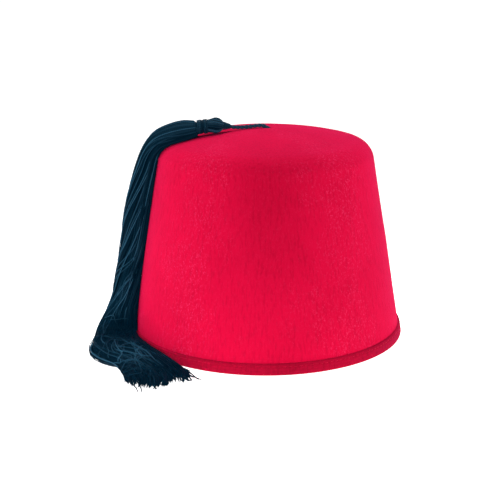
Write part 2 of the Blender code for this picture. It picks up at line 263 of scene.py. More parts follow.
def length_setting(name, about, default, low, high):
    return FloatProperty(name=name, description=about, unit="LENGTH", default=default, min=low, max=high)


def power_setting(name, about, default):
    return FloatProperty(name=name, description=about, unit="POWER", default=default, min=0)


def glow_setting(name, about, default):
    return FloatProperty(name=name, description=about, default=default, min=0, max=5)


def count_setting(name, about, default, low, high):
    return IntProperty(name=name, description=about, default=default, min=low, max=high)


class FezFeltSettings(bpy.types.PropertyGroup):
    felt: colour_setting("Felt", "Main colour of the crown's felt", (0.73, 0.0028, 0.044))
    # the shade colour also paints the patch of painted shade high on the front
    felt_shade: colour_setting(
        "Felt shade", "Colour of the felt where the wool lies thinner or deeper", (0.57, 0.0018, 0.031)
    )
    # the nap colour is also a painted glint of light on the loose fibres
    felt_nap: colour_setting("Felt nap", "Colour of the loose fibres on the felt", (0.82, 0.040, 0.14))
    binding: colour_setting("Binding", "Main colour of the rim's binding", (0.44, 0.003, 0.028))
    thickness: length_setting("Felt thickness", "Thickness of the crown's wall", 0.0020, 0.001, 0.003)
    dent_depth: length_setting(
        "Dent depth", "How far the hand-blocked felt strays from a true cone", 0.0007, 0, 0.002
    )


class FezTasselSettings(bpy.types.PropertyGroup):
    thread: colour_setting("Thread", "Main colour of the tassel's thread", (0.0001, 0.0069, 0.0156))
    # painted highlight: this colour stands in for the glint of light on the silk threads
    thread_highlight: colour_setting(
        "Light thread", "Colour of the threads that catch the light", (0.025, 0.087, 0.145)
    )
    thread_radius: length_setting(
        "Thread radius", "Half the thickness of one thread of the skirt", 0.00038, 0.0002, 0.001
    )
    threads: count_setting("Threads", "Number of threads in the skirt", 520, 50, 1200)
    loose_threads: count_setting("Loose threads", "Number of threads that lie across the others", 11, 0, 200)
    cord_radius: length_setting(
        "Cord radius", "Half the thickness of the twisted cord", 0.0011, 0.0005, 0.002
    )
    cord_pitch: length_setting(
        "Cord pitch", "Length of one full turn of the cord's strands", 0.0060, 0.002, 0.02
    )


class FezStageSettings(bpy.types.PropertyGroup):
    floor: colour_setting("Floor", "Colour of the floor", (0.90, 0.90, 0.90))
    floor_size: length_setting("Floor size", "Length of the floor's side", 24.0, 2, 100)
    under_glow: glow_setting(
        "Glow under the hat", "Light that the floor itself gives at the hat's rim, like a light table", 1.15
    )
    near_glow: glow_setting("Glow near the hat", "Light that the floor itself gives around the hat", 0.42)
    far_glow: glow_setting(
        "Glow far off", "Light that the floor itself gives where no softbox reaches it", 1.0
    )
    top_power: power_setting("Top light", "Power of the softbox overhead", 15.0)
    key_power: power_setting("Key light", "Power of the softbox on the left", 14.3)
    fill_power: power_setting("Fill light", "Power of the softbox on the right", 10.5)
    pool_power: power_setting(
        "Pool light", "Power of the narrow light on the floor in front of the hat", 0.055
    )
    low_power: power_setting("Low light", "Power of the narrow light on the wall beside the tassel", 0.0028)
    sky: glow_setting("Surroundings", "Strength of the light from all round", 0.06)


# Working tools


def deselect():
    if bpy.context.object and bpy.context.object.mode != "OBJECT":
        bpy.ops.object.mode_set(mode="OBJECT")
    bpy.ops.object.select_all(action="DESELECT")


def settle(made, name, material):
    """Puts the piece's place in its mesh, and names, shades and paints it."""
    deselect()
    made.select_set(True)
    bpy.context.view_layer.objects.active = made
    bpy.ops.object.transform_apply(location=True, rotation=True, scale=True)
    bpy.ops.object.shade_smooth_by_angle(angle=SMOOTH_UNDER)
    made.name = made.data.name = name
    made.data.materials.clear()
    made.data.materials.append(material)
    return made


def add_modifier(made, kind, **settings):
    """Adds a modifier, sets it up and applies it."""
    change = made.modifiers.new(kind.title(), kind)
    for setting, value in settings.items():
        setattr(change, setting, value)
    deselect()
    made.select_set(True)
    bpy.context.view_layer.objects.active = made
    bpy.ops.object.modifier_apply(modifier=change.name)


def turn_by_rings(profile, sides, closed=False):
    """Extrudes a circle from one (radius, height) to the next; a closed profile ends where it began."""
    deselect()
    radius, height = profile[0]
    bpy.ops.mesh.primitive_circle_add(vertices=sides, radius=radius, location=(0, 0, height))
    made = bpy.context.object
    bpy.ops.object.mode_set(mode="EDIT")
    bpy.ops.mesh.select_all(action="SELECT")
    rows = profile[1:] + profile[:1] if closed else profile[1:]
    for next_radius, next_height in rows:
        bpy.ops.mesh.extrude_region_move(TRANSFORM_OT_translate={"value": (0, 0, next_height - height)})
        share = next_radius / radius
        bpy.ops.transform.resize(value=(share, share, 1))
        radius, height = next_radius, next_height
    if closed:
        bpy.ops.mesh.select_all(action="SELECT")
        bpy.ops.mesh.remove_doubles(threshold=1e-6)
    else:
        bpy.ops.mesh.merge(type="CENTER")
        bpy.ops.mesh.select_all(action="SELECT")
    bpy.ops.mesh.normals_make_consistent(inside=False)
    bpy.ops.object.mode_set(mode="OBJECT")
    bpy.ops.object.transform_apply(location=True, rotation=True, scale=True)
    return made


def arc(centre, radius, start, end, steps):
    """Points of an arc from one angle to another, in degrees."""
    angles = [math.radians(start + (end - start) * i / steps) for i in range(steps + 1)]
    return [(centre[0] + radius * math.cos(a), centre[1] + radius * math.sin(a)) for a in angles]


def direction(heading, slant):
    """The direction at a heading, turned from +X, and at a slant above the level."""
    level = math.cos(slant)
    return Vector((math.cos(heading) * level, math.sin(heading) * level, math.sin(slant)))


def between(a, b, c, d, t):
    """The Catmull-Rom curve from b at t = 0 to c at t = 1."""
    return 0.5 * (2 * b + (c - a) * t + (2 * a - 5 * b + 4 * c - d) * t**2 + (3 * b - a - 3 * c + d) * t**3)


def smooth_line(points, step):
    """Points a step apart on the smooth curve through the given ones."""
    points = [Vector(p) for p in points]
    padded = [2 * points[0] - points[1], *points, 2 * points[-1] - points[-2]]
    fine = [points[0]]
    for a, b, c, d in zip(padded, padded[1:], padded[2:], padded[3:]):
        fine += [between(a, b, c, d, k / 12) for k in range(1, 13)]
    fine = np.array(fine)
    along = np.concatenate([[0], np.cumsum(np.linalg.norm(np.diff(fine, axis=0), axis=1))])
    stops = np.linspace(0, along[-1], max(2, round(along[-1] / step)) + 1)
    return np.stack([np.interp(stops, along, fine[:, k]) for k in range(3)], axis=1)


# Threads: tubes along lines, many to a mesh

# A thread's tone is the share of its lighter colour, which on the tassel is a painted highlight
Thread = namedtuple("Thread", "points sides radii tone")


def headings(points):
    ahead = np.gradient(points, axis=0)
    return ahead / np.maximum(np.linalg.norm(ahead, axis=1, keepdims=True), 1e-12)


def carried_sides(points):
    """A direction across the line at each point, carried along it without twisting."""
    ahead = [Vector(a) for a in headings(points)]
    side = ahead[0].orthogonal().normalized()
    sides = [side]
    for before, after in zip(ahead, ahead[1:]):
        side = before.rotation_difference(after) @ side
        sides.append(side)
    return np.array(sides)


def thread(points, radius, tone, sides=None, tip=1.0):
    """A thread of one thickness, with its last end drawn in to a share of it."""
    points = np.asarray(points, float)
    radii = np.full(len(points), float(radius))
    radii[-1] *= tip
    return Thread(points, carried_sides(points) if sides is None else sides, radii, tone)


def tube_mesh(name, threads, material, around=5):
    """One mesh of closed tubes, with a UV map (round it, and along it in millimetres) and a tone."""
    turns = np.arange(around) * math.tau / around
    places, faces, uvs, tones, smooth = [], [], [], [], []
    base = 0
    for line in threads:
        ahead = headings(line.points)
        out = np.cross(ahead, line.sides)
        out /= np.maximum(np.linalg.norm(out, axis=1, keepdims=True), 1e-12)
        side = np.cross(out, ahead)
        ring = side[:, None] * np.cos(turns)[None, :, None] + out[:, None] * np.sin(turns)[None, :, None]
        places.append((line.points[:, None] + ring * line.radii[:, None, None]).reshape(-1, 3))
        count = len(line.points)
        k = np.arange(around)
        row = np.arange(count - 1)[:, None] * around + base
        after = (k + 1) % around
        quads = np.stack([row + k, row + after, row + around + after, row + around + k], axis=-1)
        faces += quads.reshape(-1, 4).tolist()
        steps = np.linalg.norm(np.diff(line.points, axis=0), axis=1)
        length = np.concatenate([[0], np.cumsum(steps)]) / MM
        low = np.broadcast_to(length[:-1, None], (count - 1, around))
        high = np.broadcast_to(length[1:, None], (count - 1, around))
        left = np.broadcast_to(k / around, (count - 1, around))
        right = left + 1 / around
        corners = [(left, low), (right, low), (right, high), (left, high)]
        uvs.append(np.stack([np.stack(c, axis=-1) for c in corners], axis=2).reshape(-1, 2))
        faces += [list(range(base + around - 1, base - 1, -1))]
        faces += [list(range(base + (count - 1) * around, base + count * around))]
        uvs.append(np.tile([[0.5, 0.0]], (around, 1)))
        uvs.append(np.tile([[0.5, length[-1]]], (around, 1)))
        smooth += [True] * (around * (count - 1)) + [False] * 2
        tones.append(np.repeat(np.broadcast_to(line.tone, count), around))
        base += count * around
    shape = bpy.data.meshes.new(name)
    shape.from_pydata(np.concatenate(places).tolist(), [], faces)
    shape.uv_layers.new(name="thread").uv.foreach_set("vector", np.concatenate(uvs).ravel())
    tone = shape.attributes.new("tone", "FLOAT", "POINT")
    tone.data.foreach_set("value", np.concatenate(tones))
    shape.polygons.foreach_set("use_smooth", smooth)
    shape.materials.append(material)
    shape.update()
    made = bpy.data.objects.new(name, shape)
    bpy.context.collection.objects.link(made)
    return made


# Finishes


def new_group(name, inputs):
    """A shader node group for a surface's pattern, with inputs of (name, kind, default)."""
    group = bpy.data.node_groups.new(name, "ShaderNodeTree")
    for title, kind, default in inputs:
        socket = group.interface.new_socket(title, in_out="INPUT", socket_type=f"NodeSocket{kind}")
        if default is not None:
            socket.default_value = default
    for title, kind in (("Colour", "Color"), ("Roughness", "Float"), ("Height", "Float")):
        group.interface.new_socket(title, in_out="OUTPUT", socket_type=f"NodeSocket{kind}")
    return group, group.nodes.new("NodeGroupInput").outputs, group.nodes.new("NodeGroupOutput").inputs


def feed(tree, value, socket):
    """Gives a socket its value, or links it where the value comes from another node."""
    if isinstance(value, bpy.types.NodeSocket):
        tree.links.new(value, socket)
    else:
        socket.default_value = value


def mixed(tree, share, low, high):
    """The low colour at share 0, and the high one at 1, by the node's own colour sockets."""
    made = tree.nodes.new("ShaderNodeMix")
    made.data_type = "RGBA"
    feed(tree, share, made.inputs[0])
    feed(tree, low, made.inputs[6])
    feed(tree, high, made.inputs[7])
    return made.outputs[2]


def maths(tree, operation, *values, clamp=False):
    made = tree.nodes.new("ShaderNodeMath")
    made.operation = operation
    made.use_clamp = clamp
    for socket, value in zip(made.inputs, values):
        feed(tree, value, socket)
    return made.outputs[0]


def plus(tree, *values, clamp=False):
    return maths(tree, "ADD", *values, clamp=clamp)


def times(tree, *values, clamp=False):
    return maths(tree, "MULTIPLY", *values, clamp=clamp)


def scaled(tree, value, size, base):
    """The value times a size, on top of a base."""
    return maths(tree, "MULTIPLY_ADD", value, size, base)


def ramp(tree, value, low, high):
    """0 under low, 1 over high, and smooth between."""
    made = tree.nodes.new("ShaderNodeMapRange")
    made.interpolation_type = "SMOOTHSTEP"
    tree.links.new(value, made.inputs["Value"])
    made.inputs["From Min"].default_value = low
    made.inputs["From Max"].default_value = high
    return made.outputs["Result"]


def noise(tree, place, scale, detail, roughness):
    made = tree.nodes.new("ShaderNodeTexNoise")
    tree.links.new(place, made.inputs["Vector"])
    made.inputs["Scale"].default_value = scale
    made.inputs["Detail"].default_value = detail
    made.inputs["Roughness"].default_value = roughness
    return made.outputs[0]


def length_of(tree, place):
    """How far the place is from the middle of its coordinates."""
    made = tree.nodes.new("ShaderNodeVectorMath")
    made.operation = "LENGTH"
    tree.links.new(place, made.inputs[0])
    return made.outputs["Value"]


def stretched(tree, place, scale, shift=(0, 0, 0)):
    """The place with each axis scaled, to draw a pattern out, and then shifted."""
    made = tree.nodes.new("ShaderNodeMapping")
    tree.links.new(place, made.inputs["Vector"])
    made.inputs["Location"].default_value = shift
    made.inputs["Scale"].default_value = scale
    return made.outputs["Vector"]


def felt_group():
    """Pressed wool: soft clouds, upright streaks, pale flecks of nap with painted glints, a patch of painted
    shade, and a fine fibrous surface.
    """
    group, given, result = new_group(
        "pressed_wool",
        [
            ("Place", "Vector", None),
            ("Felt", "Color", None),
            ("Shade", "Color", None),
            ("Nap", "Color", None),
            ("Streaks", "Float", 0.5),
            ("Flecks", "Float", 0.5),
        ],
    )
    place = given["Place"]
    clouds = noise(group, place, *CLOUDS)
    upright = stretched(group, place, (1, 1, 0.07))
    streaks = noise(group, upright, *STREAKS)
    fine_streaks = noise(group, upright, *FINE_STREAKS)
    tufts = stretched(group, place, (1, 1, 0.6))
    flecks = noise(group, tufts, *FLECKS)
    curls = maths(group, "ABSOLUTE", maths(group, "SUBTRACT", noise(group, tufts, *CURLS), 0.5))
    curls = maths(group, "SUBTRACT", 1, ramp(group, curls, 0.0, 0.055))
    fibres = noise(group, place, *FIBRES)
    shade = times(group, ramp(group, streaks, 0.46, 0.70), given["Streaks"])
    shade = plus(group, shade, times(group, ramp(group, fine_streaks, 0.5, 0.8), FINE_STREAK_SHARE))
    shade = plus(group, shade, times(group, ramp(group, clouds, 0.42, 0.66), CLOUD_SHARE), clamp=True)
    # painted shade: a broad patch high on the front turns the felt to its shade colour
    shade = plus(group, shade, times(group, painted_shade_patch(group, place), PAINTED_SHADE_SHARE), clamp=True)
    colour = mixed(group, shade, given["Felt"], given["Shade"])
    # the pale flecks are loose fibres with painted glints of light on them
    pale = times(group, ramp(group, flecks, 0.40, 0.62), curls)
    pale = times(group, pale, given["Flecks"])
    pale = times(group, pale, fibre_and_glint_bands(group, place), clamp=True)
    colour = mixed(group, pale, colour, given["Nap"])
    group.links.new(colour, result["Colour"])
    rough = plus(group, 0.86, times(group, fibres, 0.14), clamp=True)
    group.links.new(rough, result["Roughness"])
    height = plus(group, times(group, fibres, 0.6), times(group, flecks, 0.9))
    height = plus(group, height, times(group, streaks, 0.5))
    group.links.new(height, result["Height"])
    return group


def painted_shade_patch(group, place):
    """1 in the middle of the patch of painted shade high on the front, and 0 outside it."""
    shares = [1 / reach for reach in PAINTED_SHADE_REACH]
    to_middle = [-at / reach for at, reach in zip(PAINTED_SHADE_AT, PAINTED_SHADE_REACH)]
    distance = length_of(group, stretched(group, place, shares, to_middle))
    return maths(group, "SUBTRACT", 1, ramp(group, distance, 0.0, 1.0))


def fibre_and_glint_bands(group, place):
    """Upright bands round the crown in which more of the loose fibres show, with painted glints of light on
    them.
    """
    parts = group.nodes.new("ShaderNodeSeparateXYZ")
    group.links.new(place, parts.inputs[0])
    heading = maths(group, "ARCTAN2", parts.outputs["X"], parts.outputs["Y"])
    wave = maths(group, "COSINE", times(group, heading, FIBRE_AND_GLINT_BANDS))
    ragged = noise(group, stretched(group, place, (1, 1, 0.5)), *RAGGED)
    strength = scaled(group, wave, 0.16, ragged)
    return scaled(group, ramp(group, strength, 0.42, 0.72), 1.0, 0.25)


def spun_group():
    """Two-ply silky thread: slanted plies by the UV map, and light and dark threads by their tone; the light
    colour is a painted highlight.
    """
    group, given, result = new_group(
        "spun_thread",
        [
            ("Round and along", "Vector", None),
            ("Tone", "Float", 0.5),
            ("Thread", "Color", None),
            ("Light", "Color", None),
            ("Pitch", "Float", 1.2),
        ],
    )
    parts = group.nodes.new("ShaderNodeSeparateXYZ")
    group.links.new(given["Round and along"], parts.inputs[0])
    along = maths(group, "DIVIDE", parts.outputs["Y"], given["Pitch"])
    turn = plus(group, times(group, parts.outputs["X"], PLIES), along)
    wave = maths(group, "SINE", times(group, turn, math.tau))
    ply = scaled(group, wave, 0.5, 0.5)
    highlight_change = noise(group, stretched(group, given["Round and along"], (1, 0.05, 1)), *HIGHLIGHT_CHANGES)
    # painted highlight: the tone, the plies' ridges and the slow changes mix in the light colour
    light = times(group, given["Tone"], scaled(group, ply, 0.45, 0.75))
    light = times(group, light, scaled(group, highlight_change, 0.8, 0.6), clamp=True)
    group.links.new(mixed(group, light, given["Thread"], given["Light"]), result["Colour"])
    group.links.new(scaled(group, wave, -0.06, 0.42), result["Roughness"])
    group.links.new(ply, result["Height"])
    return group


def group_in(tree, group, **values):
    made = tree.nodes.new("ShaderNodeGroup")
    made.node_tree = group
    for name, value in values.items():
        feed(tree, value, made.inputs[name.replace("_", " ")])
    return made.outputs


def rgba(colour):
    return (*colour, 1.0)


def blank_material(name):
    made = bpy.data.materials.new(name)
    made.use_nodes = True
    return made, made.node_tree, made.node_tree.nodes["Principled BSDF"].inputs


def bumped(tree, height, strength, distance):
    made = tree.nodes.new("ShaderNodeBump")
    made.inputs["Strength"].default_value = strength
    made.inputs["Distance"].default_value = distance
    tree.links.new(height, made.inputs["Height"])
    return made.outputs["Normal"]


def felt_material(name, felt, shade, nap, streaks, flecks):
    made, tree, surface = blank_material(name)
    place = tree.nodes.new("ShaderNodeTexCoord").outputs["Object"]
    wool = group_in(
        tree,
        bpy.data.node_groups["pressed_wool"],
        Place=place,
        Felt=rgba(felt),
        Shade=rgba(shade),
        Nap=rgba(nap),
        Streaks=streaks,
        Flecks=flecks,
    )
    tree.links.new(wool["Colour"], surface["Base Color"])
    tree.links.new(wool["Roughness"], surface["Roughness"])
    tree.links.new(bumped(tree, wool["Height"], 0.55, 0.0004), surface["Normal"])
    surface["Specular IOR Level"].default_value = 0.015
    surface["Sheen Weight"].default_value = 0.16
    surface["Sheen Roughness"].default_value = 0.5
    surface["Sheen Tint"].default_value = (1.0, 0.12, 0.56, 1.0)
    return made


def thread_material(name, own_colour, light, pitch, glint, gloss):
    made, tree, surface = blank_material(name)
    lay = tree.nodes.new("ShaderNodeUVMap")
    lay.uv_map = "thread"
    own = tree.nodes.new("ShaderNodeAttribute")
    own.attribute_name = "tone"
    spun = group_in(
        tree,
        bpy.data.node_groups["spun_thread"],
        Round_and_along=lay.outputs["UV"],
        Tone=own.outputs["Fac"],
        Thread=rgba(own_colour),
        Light=rgba(light),
        Pitch=pitch,
    )
    tree.links.new(spun["Colour"], surface["Base Color"])
    tree.links.new(spun["Roughness"], surface["Roughness"])
    # painted glow: the thread gives off its own colour, which lifts it out of its deepest shade
    tree.links.new(spun["Colour"], surface["Emission Color"])
    tree.links.new(bumped(tree, spun["Height"], 0.5, 0.0001), surface["Normal"])
    surface["Emission Strength"].default_value = THREAD_PAINTED_GLOW
    surface["Specular IOR Level"].default_value = gloss
    surface["Specular Tint"].default_value = rgba(glint)
    return made


def finish(name):
    """The material of that name, made when it is first asked for."""
    if name in bpy.data.materials:
        return bpy.data.materials[name]
    if "pressed_wool" not in bpy.data.node_groups:
        felt_group()
        spun_group()
    felt = bpy.context.scene.fez_felt
    tassel = bpy.context.scene.fez_tassel
    if name == "crown_felt":
        return felt_material(name, felt.felt, felt.felt_shade, felt.felt_nap, streaks=0.55, flecks=0.5)
    if name == "binding_felt":
        shade = [0.6 * c for c in felt.binding]
        return felt_material(name, felt.binding, shade, felt.felt, streaks=0.5, flecks=0.6)
    if name == "sewing_thread":
        dark = [0.55 * c for c in felt.binding]
        return thread_material(name, dark, felt.binding, pitch=0.6, glint=(1.0, 0.1, 0.2), gloss=0.035)
    dark, light = tassel.thread, tassel.thread_highlight
    if name == "cord_thread":
        return thread_material(name, dark, light, pitch=0.9, glint=(0.30, 0.75, 1.0), gloss=0.12)
    return thread_material(name, dark, light, pitch=1.3, glint=(0.05, 0.75, 1.0), gloss=0.035)


# The hat's outside, and keeping clear of it


def wall_radius(height):
    return FOOT_RADIUS + (TOP_RADIUS - FOOT_RADIUS) * height / CROWN_HEIGHT


def shoulder():
    """The middle of the shoulder's rounding, and where the wall runs into it."""
    corner = SHOULDER_RADIUS * math.tan((math.pi / 2 - LEAN - DOME_SLOPE) / 2)
    wall_top = Vector((TOP_RADIUS + corner * math.sin(LEAN), CROWN_HEIGHT - corner * math.cos(LEAN)))
    return wall_top - SHOULDER_RADIUS * Vector((math.cos(LEAN), math.sin(LEAN))), wall_top


def dome_height(radius):
    centre, _ = shoulder()
    edge = centre + SHOULDER_RADIUS * Vector((math.sin(DOME_SLOPE), math.cos(DOME_SLOPE)))
    return edge.y + math.tan(DOME_SLOPE) * edge.x / 2 * (1 - (radius / edge.x) ** 2)


def clear_of_hat(points, clearance):
    """Moves points that are nearer to the hat than the clearance straight out from it."""
    points = np.array(points)
    centre, _ = shoulder()
    for _ in range(2):
        radius = np.maximum(np.hypot(points[:, 0], points[:, 1]), 1e-9)
        height = points[:, 2]
        proud = np.where(height < BINDING_TOP + GAP, GAP + BINDING_FELT, 0)
        from_wall = (radius - wall_radius(height) - proud) * math.cos(LEAN)
        from_top = height - dome_height(radius)
        away = np.stack([radius - centre.x, height - centre.y], axis=1)
        far = np.maximum(np.linalg.norm(away, axis=1), 1e-9)
        rounded = (away[:, 0] > 0) & (away[:, 1] > 0)
        on_wall = from_wall > from_top
        depth = np.where(rounded, far - SHOULDER_RADIUS, np.where(on_wall, from_wall, from_top))
        out_r = np.where(rounded, away[:, 0] / far, np.where(on_wall, math.cos(LEAN), 0))
        out_z = np.where(rounded, away[:, 1] / far, np.where(on_wall, math.sin(LEAN), 1))
        push = np.maximum(clearance - depth, 0)
        points[:, 0] += push * out_r * points[:, 0] / radius
        points[:, 1] += push * out_r * points[:, 1] / radius
        points[:, 2] += push * out_z
    return points


# The crown and its binding


def grown(value, start, width):
    """0 up to the start, 1 from one width past it, and straight between."""
    return min(max((value - start) / width, 0), 1)


def dented(place):
    """How much of the dents' depth a place takes: none at the rim, beside the tassel or at the hole."""
    above_rim = grown(place.z, 0.010, 0.025)
    off_tassel = grown(abs(math.degrees(math.atan2(place.y, -place.x))), 14, 14)
    off_hole = grown(math.hypot(place.x, place.y), 0.012, 0.02) if place.z > 0.12 else 1
    return above_rim * off_tassel * off_hole


def make_crown():
    settings = bpy.context.scene.fez_felt
    centre, wall_top = shoulder()
    foot = GAP + BINDING_FELT
    wall = [foot + (wall_top.y - foot) * i / WALL_ROWS for i in range(WALL_ROWS)]
    profile = [(wall_radius(height), height) for height in wall]
    steepest, flattest = math.degrees(LEAN), 90 - math.degrees(DOME_SLOPE)
    profile += arc(centre, SHOULDER_RADIUS, steepest, flattest, SHOULDER_ROWS)
    edge = profile[-1][0]
    top = [edge * (1 - i / DOME_ROWS) for i in range(1, DOME_ROWS)]
    profile += [(radius, dome_height(radius)) for radius in top]
    crown = turn_by_rings(profile, CROWN_SIDES)
    blocked = crown.vertex_groups.new(name="blocked")
    for v in crown.data.vertices:
        blocked.add([v.index], dented(v.co), "REPLACE")
    dents = bpy.data.textures.new("blocking_dents", "CLOUDS")
    dents.noise_scale = DENT_SIZE
    add_modifier(
        crown,
        "DISPLACE",
        texture=dents,
        strength=settings.dent_depth,
        mid_level=0.5,
        texture_coords="LOCAL",
        vertex_group="blocked",
    )
    add_modifier(crown, "SOLIDIFY", thickness=settings.thickness, offset=-1.0, use_even_offset=True)
    deselect()
    bpy.ops.mesh.primitive_cylinder_add(
        vertices=24,
        radius=HOLE_RADIUS,
        depth=0.02,
        location=(*HOLE_AT, dome_height(0)),
        rotation=direction(HOLE_HEADING, HOLE_SLANT).to_track_quat("Z", "Y").to_euler(),
    )
    awl = bpy.context.object
    add_modifier(crown, "BOOLEAN", operation="DIFFERENCE", solver="EXACT", object=awl)
    bpy.data.objects.remove(awl)
    settle(crown, "crown_shell", finish("crown_felt"))
    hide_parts("crown")
    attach(crown, "root")


def make_rim_binding():
    """The folded strip, as one closed section of (distance out from the wall, height)."""
    felt = bpy.context.scene.fez_felt.thickness
    outer, inner = GAP + BINDING_FELT, -(felt + GAP + BINDING_FELT)
    low, top = 0.0007, BINDING_TOP
    section = [
        (0.00015, top),
        (0.00045, top - 0.0001),
        (0.00085, top - 0.0004),
        (outer - 0.00010, top - 0.0009),
        (outer - 0.00002, top - 0.0014),
        (outer - 0.00022, top - 0.0018),
        (outer - 0.00002, top - 0.0022),
        (outer, 0.0038),
        (outer - 0.00012, 0.0033),
        (outer, 0.0028),
        (outer, low),
        (outer - low * 0.3, low * 0.3),
        (outer - low, 0),
        (inner + low, 0),
        (inner + low * 0.3, low * 0.3),
        (inner, low),
        (inner, top - 0.0004),
        (inner + 0.4 * BINDING_FELT, top - 0.0001),
        (-(felt + GAP), top - 0.0002),
        (-(felt + GAP), BINDING_FELT),
        (GAP, BINDING_FELT),
        (0.00008, top - 0.0003),
    ]
    outline = [(wall_radius(z) + offset, z) for offset, z in section]
    binding = turn_by_rings(outline, BINDING_SIDES, closed=True)
    settle(binding, "binding_strip", finish("binding_felt"))
    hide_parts("rim_binding")
    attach(binding, "root")


def make_rim_stitches():
    """A row of small stitches that holds the binding, in its upper groove."""
    chance = random.Random(31)
    height = BINDING_TOP - GROOVE_DROP
    groove = wall_radius(height) + GAP + BINDING_FELT - 0.0001
    stitches = []
    for i in range(STITCHES):
        lift = chance.uniform(-0.0001, 0.0001)
        points = []
        for share, proud in STITCH:
            turn = math.tau * i / STITCHES + math.tau / STITCHES * share
            radius = groove + proud
            points.append((radius * math.cos(turn), radius * math.sin(turn), height + lift))
        stitches.append(thread(points, STITCH_RADIUS, chance.uniform(0.1, 0.7)))
    row = tube_mesh("rim_stitches", stitches, finish("sewing_thread"))
    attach(row, "root")


# The cord


def make_cord():
    settings = bpy.context.scene.fez_tassel
    route = smooth_line([Vector(p) * MM for p in CORD_ROUTE], CORD_STEP)
    radius = settings.cord_radius
    sides = carried_sides(route)
    out = np.cross(headings(route), sides)
    steps = np.linalg.norm(np.diff(route, axis=0), axis=1)
    angle = np.concatenate([[0], np.cumsum(steps)]) * math.tau / settings.cord_pitch
    from_hole = np.linalg.norm(route - np.array(CORD_ROUTE[CORD_EXIT]) * MM, axis=1)
    swell = 1 + SWELL * np.exp(-((from_hole / SWELL_REACH) ** 2))
    strands = []
    for strand in range(CORD_STRANDS):
        turn = (angle + math.tau * strand / CORD_STRANDS)[:, None]
        offset = sides * np.cos(turn) + out * np.sin(turn)
        line = route + offset * radius * STRAND_OFFSET
        strands.append(Thread(line, carried_sides(line), radius * STRAND_THICKNESS * swell, CORD_TONE))
    cord = tube_mesh("twisted_cord", strands, finish("cord_thread"), around=10)
    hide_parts("tassel_cord")
    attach(cord, "root")
    knot = make_knot()


def make_knot():
    """The overhand knot under the top, which keeps the cord from pulling out."""
    low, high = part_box("cord_knot")
    middle = (low + high) / 2
    reach = (high.x - low.x) / 2
    turns = np.linspace(0, math.tau, 73)[:-1]
    sideways = np.sin(turns) + 2 * np.sin(2 * turns)
    forward = np.cos(turns) - 2 * np.cos(2 * turns)
    loop = np.stack([sideways, forward, -np.sin(3 * turns)], axis=1)
    size = reach * 0.30
    loop = loop * (reach - size) / 3.0
    loop = np.concatenate([loop, loop[:1]]) + np.array(middle)
    knot = tube_mesh("cord_knot_tied", [thread(loop, size, KNOT_TONE)], finish("cord_thread"), around=10)
    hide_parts("cord_knot")
    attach(knot, "root")
    return knot


# The tassel's head


def axes_across(along):
    """A level direction across the given one, and one at right angles to both."""
    across = Vector((0, 0, 1)).cross(along).normalized()
    return across, along.cross(across)


def head_point(distance, radius, angle):
    """A point off the head's axis, at a distance from the knob's middle towards the neck."""
    along = (NECK_END - KNOB_AT).normalized()
    across, up = axes_across(along)
    return KNOB_AT + along * distance + radius * (across * math.cos(angle) + up * math.sin(angle))


def knob_profile():
    """(distance along the axis, radius) over the knob and into the neck."""
    ball = [(x, y) for y, x in arc((0, 0), KNOB_RADIUS, -72, 24, 12)]
    return ball + [(0.0036, 0.0046), (0.0050, 0.0043), (0.0062, NECK_RADIUS)]


def make_head():
    chance = random.Random(12)
    radius = KNOB_THREAD_RADIUS
    profile = knob_profile()
    first, last = profile[0][0], profile[-1][0]
    threads = []
    for i in range(KNOB_THREADS):
        start = math.tau * i / KNOB_THREADS + chance.uniform(-0.05, 0.05)
        twist = KNOB_TWIST + chance.uniform(-0.05, 0.05)
        points = []
        for distance, reach in profile:
            share = (distance - first) / (last - first)
            points.append(head_point(distance, max(reach - radius, 0.0004), start + twist * share))
        line = smooth_line(points, 0.0006)
        threads.append(thread(line, radius, chance.choice(KNOB_TONES)))
    threads += link_turns()
    threads.append(head_core())
    head = tube_mesh("head_threads", threads, finish("cord_thread"), around=6)
    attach(head, "root")
    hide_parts("tassel_head")
    make_neck()


def head_core():
    """The hank's inside, under the knob's threads and the winding."""
    rows = [(z, 0.86 * r) for r, z in arc((0, 0), KNOB_RADIUS, -70, 40, 10)]
    rows += [(0.0050, 0.0036), (0.0128, 0.0036), (0.0129, 0.0010)]
    axis = np.array([head_point(distance, 0, 0) for distance, _ in rows])
    return Thread(axis, carried_sides(axis), np.array([radius for _, radius in rows]), 0.0)


def link_turns():
    """The link: close turns of thread that taper from the knob to the cord's end."""
    end = Vector(CORD_ROUTE[-1]) * MM
    start = KNOB_AT + (LINK_AT - KNOB_AT).normalized() * 0.0042
    along = (end - start).normalized()
    across, up = axes_across(along)
    run = (end - start).length + 0.0008
    count = LINK_TURNS * 20
    points = []
    for i in range(count + 1):
        share = i / count
        reach = 0.0026 - 0.0013 * share**1.3
        angle = math.tau * share * LINK_TURNS
        points.append(start + along * run * share + reach * (across * math.cos(angle) + up * math.sin(angle)))
    core = [start + along * run * share for share in (-0.1, 0.5, 1.0)]
    return [thread(points, LINK_THREAD_RADIUS, 0.15), thread(core, 0.0012, 0.05)]


